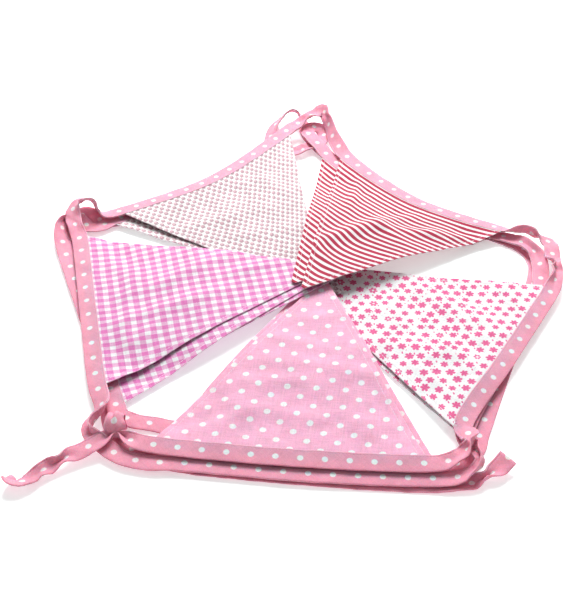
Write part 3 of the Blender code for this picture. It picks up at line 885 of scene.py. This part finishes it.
def paint_dots(u, v, thread):
    """White dots in staggered rows on pink."""
    ragged = noise(u / 1.3, v / 1.3, 1.0, 11.0) * 0.5 - 0.25
    dots = None
    for shift in (0.0, 0.5):
        x, y, column, row = lattice(u, v, *DOT_REPEAT, shift)
        spot = dot_at(x + ragged, y, DOT_RADIUS)
        dots = spot if dots is None else dots.most(spot)
    return mixed(dots, PINK, WHITE)


def paint_tape(u, v, thread):
    """One row of white dots along the middle of pink tape."""
    x, y, column, row = lattice(u, v, *TAPE_DOT_REPEAT, 0.5)
    ragged = noise(u / 1.3, v / 1.3, 1.0, 11.0) * 0.4 - 0.2
    return mixed(dot_at(x + ragged, y, TAPE_DOT_RADIUS), TAPE_PINK, WHITE)


# %% Gingham and stripes
MAGENTA, RED, STRIPE_GROUND = (0.68, 0.245, 0.49), (0.45, 0.07, 0.12), (0.79, 0.75, 0.76)
CHECK_ACROSS, CHECK_DOWN, STRIPE_REPEAT = 8.1, 9.9, 6.45


def bars(at, repeat):
    """1 on the coloured half of a repeat, 0 on the white half."""
    part = at / repeat
    return (part - part.floor() - 0.5).size().step(0.29, 0.24)


def paint_gingham(u, v, thread):
    """Coloured and white threads crossing: where both are coloured the square is full."""
    sway = noise(u / 30.0, v / 30.0, 1.0, 13.0) * 1.6
    warp, weft = bars(u + sway, CHECK_ACROSS), bars(v + sway, CHECK_DOWN)
    both = (warp + weft) * 0.5 + (warp - weft) * thread * 0.4 + (warp - weft).size() * 0.12
    return mixed(both, WHITE, MAGENTA)


def paint_stripe(u, v, thread):
    """Fine red lines side by side, along the tape."""
    sway = noise(u / 22.0, v / 60.0, 1.0, 17.0) * 1.0
    return mixed(bars(v + sway, STRIPE_REPEAT), STRIPE_GROUND, RED)


# %% Small flowers
FLOWER_PINK = (0.70, 0.18, 0.34)
FLOWER_ACROSS, FLOWER_DOWN = 10.8, 9.6
FLOWER_RADIUS, FLOWER_GROWTH = 2.9, 1.1


def paint_flower(u, v, thread):
    """Six-petalled flowers, each turned and moved a little, with small leaf ticks between."""
    row = (v / FLOWER_DOWN).floor()
    half_step = (row / 2.0 - (row / 2.0).floor()) * FLOWER_ACROSS
    x, y, column, row = lattice(u + half_step, v, FLOWER_ACROSS, FLOWER_DOWN)
    dx, dy, spin = chance(column, row)
    kind, grow, spare = chance(column, row, 4.0)
    x, y = x + dx * 3.0 - 1.5, y + dy * 2.4 - 1.2
    ragged = noise(u / 1.2, v / 1.2, 1.0, 19.0) * 1.5 - 0.75
    radius = (x * x + y * y).root() + ragged
    angle = x.made_by("ARCTAN2", y, x) + spin * 6.28
    petal = (angle * 3.0).cos().size().root() * 0.62 + 0.42
    reach = petal * (grow * FLOWER_GROWTH + FLOWER_RADIUS)
    petals = (radius - reach).step(0.3, -0.3)
    open_middle = radius.step(1.3, 0.8) * kind.step(0.94, 0.96)
    flower = petals * (1.0 - open_middle)
    x, y, column, row = lattice(u + half_step + 5.4, v + 4.0, FLOWER_ACROSS, FLOWER_DOWN)
    dx, dy, spin = chance(column, row, 8.0)
    x, y = x + dx * 2.0 - 1.0, y + dy * 2.0 - 1.0
    tick = ((x + y) * 0.9).size().most((x - y).size() * 0.5).step(0.95, 0.6) * spin.step(0.55, 0.57)
    return mixed(flower.most(tick * (1.0 - petals)), WHITE, FLOWER_PINK)


# %% Rosebuds
BUD_PINK, BUD_DARK, LEAF_GREEN = (0.62, 0.36, 0.42), (0.30, 0.17, 0.21), (0.34, 0.37, 0.34)
BUD_GROUND, BUD_REPEAT = (0.79, 0.765, 0.765), (7.3, 9.2)


def paint_rosebud(u, v, thread):
    """Tiny buds in staggered rows, each darker on one side, with two leaf specks."""
    colour = BUD_GROUND
    for shift in (0.0, 0.5):
        x, y, column, row = lattice(u, v, *BUD_REPEAT, shift)
        dx, dy, spin = chance(column, row, 2.0 + shift)
        x, y = x + dx * 0.7 - 0.35, y + dy * 0.7 - 0.35
        bud = (x * x + y * y * 0.7).root().step(2.35, 1.65)
        inner_x, inner_y = x - spin * 0.8 + 0.4, y + 1.1
        hollow = (inner_x * inner_x + inner_y * inner_y).root().step(1.6, 0.9)
        leaf_x, leaf_y = x.size() - 1.6, y - 1.9
        leaf = ((leaf_x + leaf_y) * 0.8).size().most((leaf_x - leaf_y).size() * 0.45).step(0.62, 0.35)
        colour = mixed(leaf * 0.5, colour, LEAF_GREEN)
        colour = mixed(bud * (0.6 + hollow * 0.1), colour, BUD_PINK)
        colour = mixed(bud * (0.5 - hollow * 0.45), colour, BUD_DARK)
    return colour


# %% Give each piece its cotton
PAINTS = {
    "dots": (paint_dots, (0.80, 0.62, 0.70)),
    "gingham": (paint_gingham, (0.80, 0.72, 0.77)),
    "rosebud": (paint_rosebud, (0.78, 0.75, 0.75)),
    "stripe": (paint_stripe, (0.78, 0.70, 0.71)),
    "flower": (paint_flower, (0.78, 0.75, 0.76)),
}
TAPE_STITCH_IN, TAPE_THREAD = 1.75, (0.80, 0.44, 0.55)
# How far light of each colour wanders in the cloth: red goes through pink cotton best.
PINK_GLOW, WHITE_GLOW = (1.0, 0.12, 0.22), (1.0, 0.7, 0.75)
cottons = {}
for name, (paint, thread) in PAINTS.items():
    glow = PINK_GLOW if name == "dots" else WHITE_GLOW
    cottons[name] = cotton(name + "_cotton_print", paint, thread, SEAM_IN, glow)
for name, flag in flags.items():
    flag.data.materials.append(cottons[name.split("_")[0]])
tape_cotton = cotton("dotted_binding", paint_tape, TAPE_THREAD, TAPE_STITCH_IN, PINK_GLOW, bias=True)
tape.data.materials.append(tape_cotton)
print("materials:", sorted(material.name for material in cottons.values()))

# %% [markdown]
# ## White table and soft light
# The photo was taken on white with light from all round and a large soft lamp above, so the
# ground is pure white and the shadows are short. A wide plane stands for the table. It glows
# a little, so that it stays white under the cloth's shade, and it is a little cool, against
# the pink that the cloth throws on it. The world gives the light from all round, and one
# large area lamp above gives the shadows their soft edge.

# %% Table
TABLE_SIZE, PAPER, PAPER_GLOW = 8.0, (0.92, 0.98, 0.965, 1.0), 0.25
FULL_WHITE = (1.0, 1.0, 1.0, 1.0)

bpy.ops.object.select_all(action="DESELECT")
bpy.ops.mesh.primitive_plane_add(size=TABLE_SIZE, location=(0, 0, 0))
table = bpy.context.object
table.name = "white_table"
table_paint = bpy.data.materials.new("white_paper")
table_paint.use_nodes = True
table_shader = table_paint.node_tree.nodes["Principled BSDF"]
table_shader.inputs["Base Color"].default_value = PAPER
table_shader.inputs["Roughness"].default_value = 0.7
table_shader.inputs["Specular IOR Level"].default_value = 0.1
table_shader.inputs["Emission Color"].default_value = FULL_WHITE
table_shader.inputs["Emission Strength"].default_value = PAPER_GLOW
table.data.materials.append(table_paint)

# %% Light
ROOM_LIGHT, LAMP_WATTS, LAMP_WIDTH = 0.345, 18.2, 0.9
LAMP_PLACE, LAMP_AIM = (-0.02, 0.82, 1.2), Vector((0, -0.03, 0))

world = bpy.data.worlds.new("white_room")
world.use_nodes = True
world.node_tree.nodes["Background"].inputs["Color"].default_value = FULL_WHITE
world.node_tree.nodes["Background"].inputs["Strength"].default_value = ROOM_LIGHT
bpy.context.scene.world = world
bpy.context.scene.view_settings.view_transform = "Standard"
bpy.context.scene.view_settings.look = "High Contrast"
lamp_data = bpy.data.lights.new("soft_lamp", "AREA")
lamp_data.shape = "DISK"
lamp_data.size = LAMP_WIDTH
lamp_data.energy = LAMP_WATTS
lamp = bpy.data.objects.new("soft_lamp", lamp_data)
bpy.context.scene.collection.objects.link(lamp)
lamp.location = LAMP_PLACE
lamp.rotation_euler = (LAMP_AIM - lamp.location).to_track_quat("-Z", "Y").to_euler()
